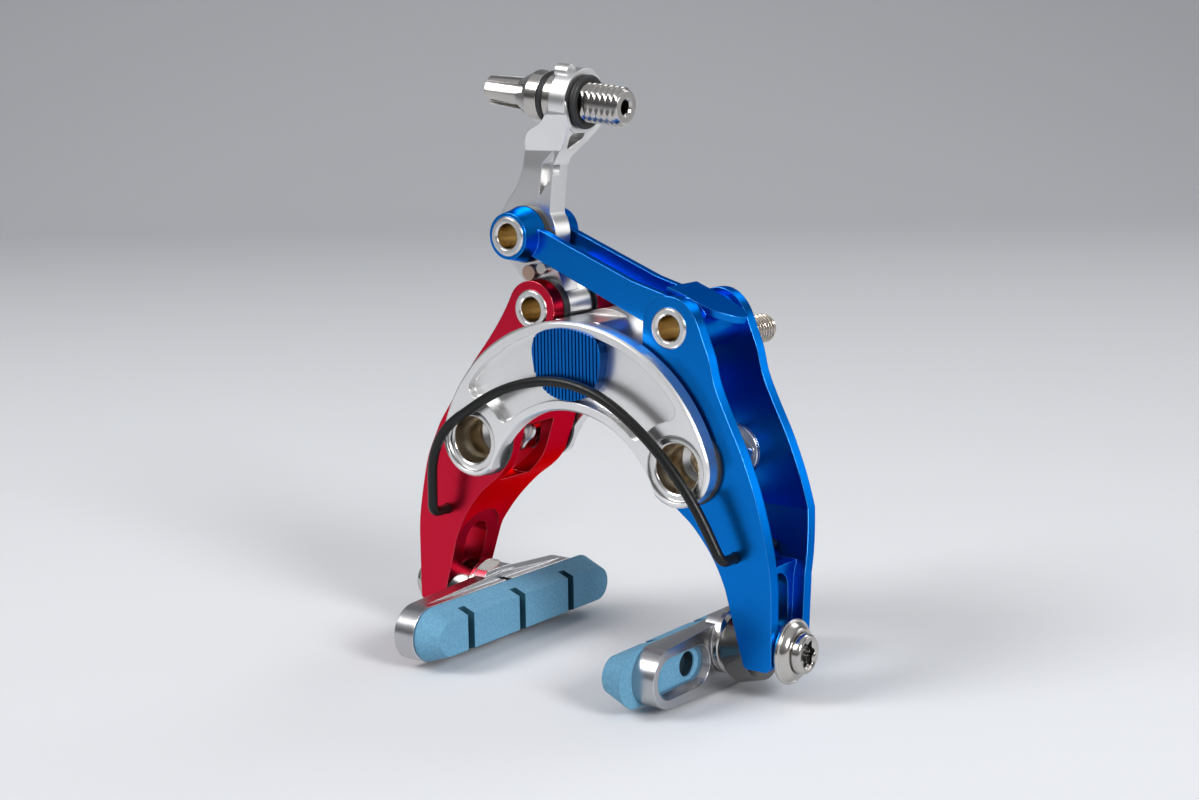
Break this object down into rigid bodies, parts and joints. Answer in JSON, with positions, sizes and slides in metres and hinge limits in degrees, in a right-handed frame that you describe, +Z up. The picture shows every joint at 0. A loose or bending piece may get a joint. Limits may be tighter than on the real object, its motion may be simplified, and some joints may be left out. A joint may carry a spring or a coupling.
{
  "type": "caliper brake",
  "caption": "Caliper brake with forked channel arms on a crescent bridge, closed by a swing lever and a top link, with rubber pads in metal holders and a rear mounting stud.",
  "frame": {"origin": "on the mounting stud's axis at the mounting face", "axes": "+X to the right seen from the front, +Y to the rear along the mounting stud, +Z up"},
  "size_m": [0.0892, 0.085, 0.1112],
  "materials": {
    "silver_alloy": "machined and polished",
    "blue_alloy": "blue anodised",
    "red_alloy": "red anodised",
    "polished_steel": "polished",
    "stud_steel": "plated",
    "copper_pin": "plain",
    "black_washer": "matt",
    "dark_steel": "blackened",
    "spring_wire": "black coated",
    "ring_rubber": "matt",
    "pad_rubber": "matt blue-grey compound"
  },
  "bodies": {
    "bridge": {"bridge_front": "silver_alloy", "bridge_core": "silver_alloy", "mounting_stud": "stud_steel", "badge": "blue_alloy", "thrust_washers": "black_washer", "return_spring": "spring_wire", "right_axle": "polished_steel", "right_axle_nut": "polished_steel", "left_axle": "polished_steel", "left_axle_nut": "polished_steel"},
    "left_arm": {"left_arm": "red_alloy", "left_knee_pin": "polished_steel", "left_knee_washers": "black_washer", "left_cup_washer": "dark_steel"},
    "right_arm": {"right_arm": "blue_alloy", "right_knee_pin": "polished_steel", "right_cup_washer": "dark_steel"},
    "swing_lever": {"swing_lever": "silver_alloy", "lever_pin_large": "copper_pin", "lever_pin_small": "polished_steel"},
    "top_link": {"top_link": "blue_alloy", "elbow_pin": "polished_steel", "elbow_washers": "black_washer"},
    "left_pad": {"left_pad": "pad_rubber", "left_pad_holder": "silver_alloy", "left_pad_bolt": "polished_steel", "left_flange_washer": "polished_steel", "left_dome_washer": "polished_steel"},
    "right_pad": {"right_pad": "pad_rubber", "right_pad_holder": "silver_alloy", "right_pad_bolt": "polished_steel", "right_flange_washer": "polished_steel", "right_dome_washer": "polished_steel"},
    "adjuster": {"adjuster_barrel": "polished_steel", "adjuster_grip": "silver_alloy", "adjuster_rings": "ring_rubber"}
  },
  "joints": [
    {"name": "close_left", "type": "hinge", "parent": "bridge", "child": "left_arm", "pos_m": [-0.0234, -0.013, -0.015], "axis": [0, -1, 0], "range_deg": [0, 6], "deforming": ["return_spring"]},
    {"name": "close_right", "type": "hinge", "parent": "bridge", "child": "right_arm", "pos_m": [0.0234, -0.013, -0.015], "axis": [0, 1, 0], "range_deg": [0, 6]},
    {"name": "lever_swing", "type": "hinge", "parent": "left_arm", "child": "swing_lever", "pos_m": [-0.0112, -0.013, 0.0102], "axis": [0, 1, 0], "range_deg": [0, 31]},
    {"name": "link_swing", "type": "hinge", "parent": "right_arm", "child": "top_link", "pos_m": [0.0196, -0.013, 0.009], "axis": [0, -1, 0], "range_deg": [0, 3.1]},
    {"name": "left_pad_tilt", "type": "hinge", "parent": "left_arm", "child": "left_pad", "pos_m": [-0.0342, -0.01575, -0.0474], "axis": [1, 0, 0], "range_deg": [-4, 4]},
    {"name": "right_pad_tilt", "type": "hinge", "parent": "right_arm", "child": "right_pad", "pos_m": [0.0342, -0.01575, -0.0474], "axis": [1, 0, 0], "range_deg": [-4, 4]},
    {"name": "adjuster_turn", "type": "hinge", "parent": "swing_lever", "child": "adjuster", "pos_m": [-0.0056, -0.0148, 0.048], "axis": [0.9945, 0, -0.1045], "range_deg": [-180, 180]}
  ],
  "couplings": [
    {"joint": "close_right", "follows": "close_left", "ratio": 1},
    {"joint": "lever_swing", "follows": "close_left", "ratio": 5.1302},
    {"joint": "link_swing", "follows": "close_left", "ratio": 0.50012}
  ]
}
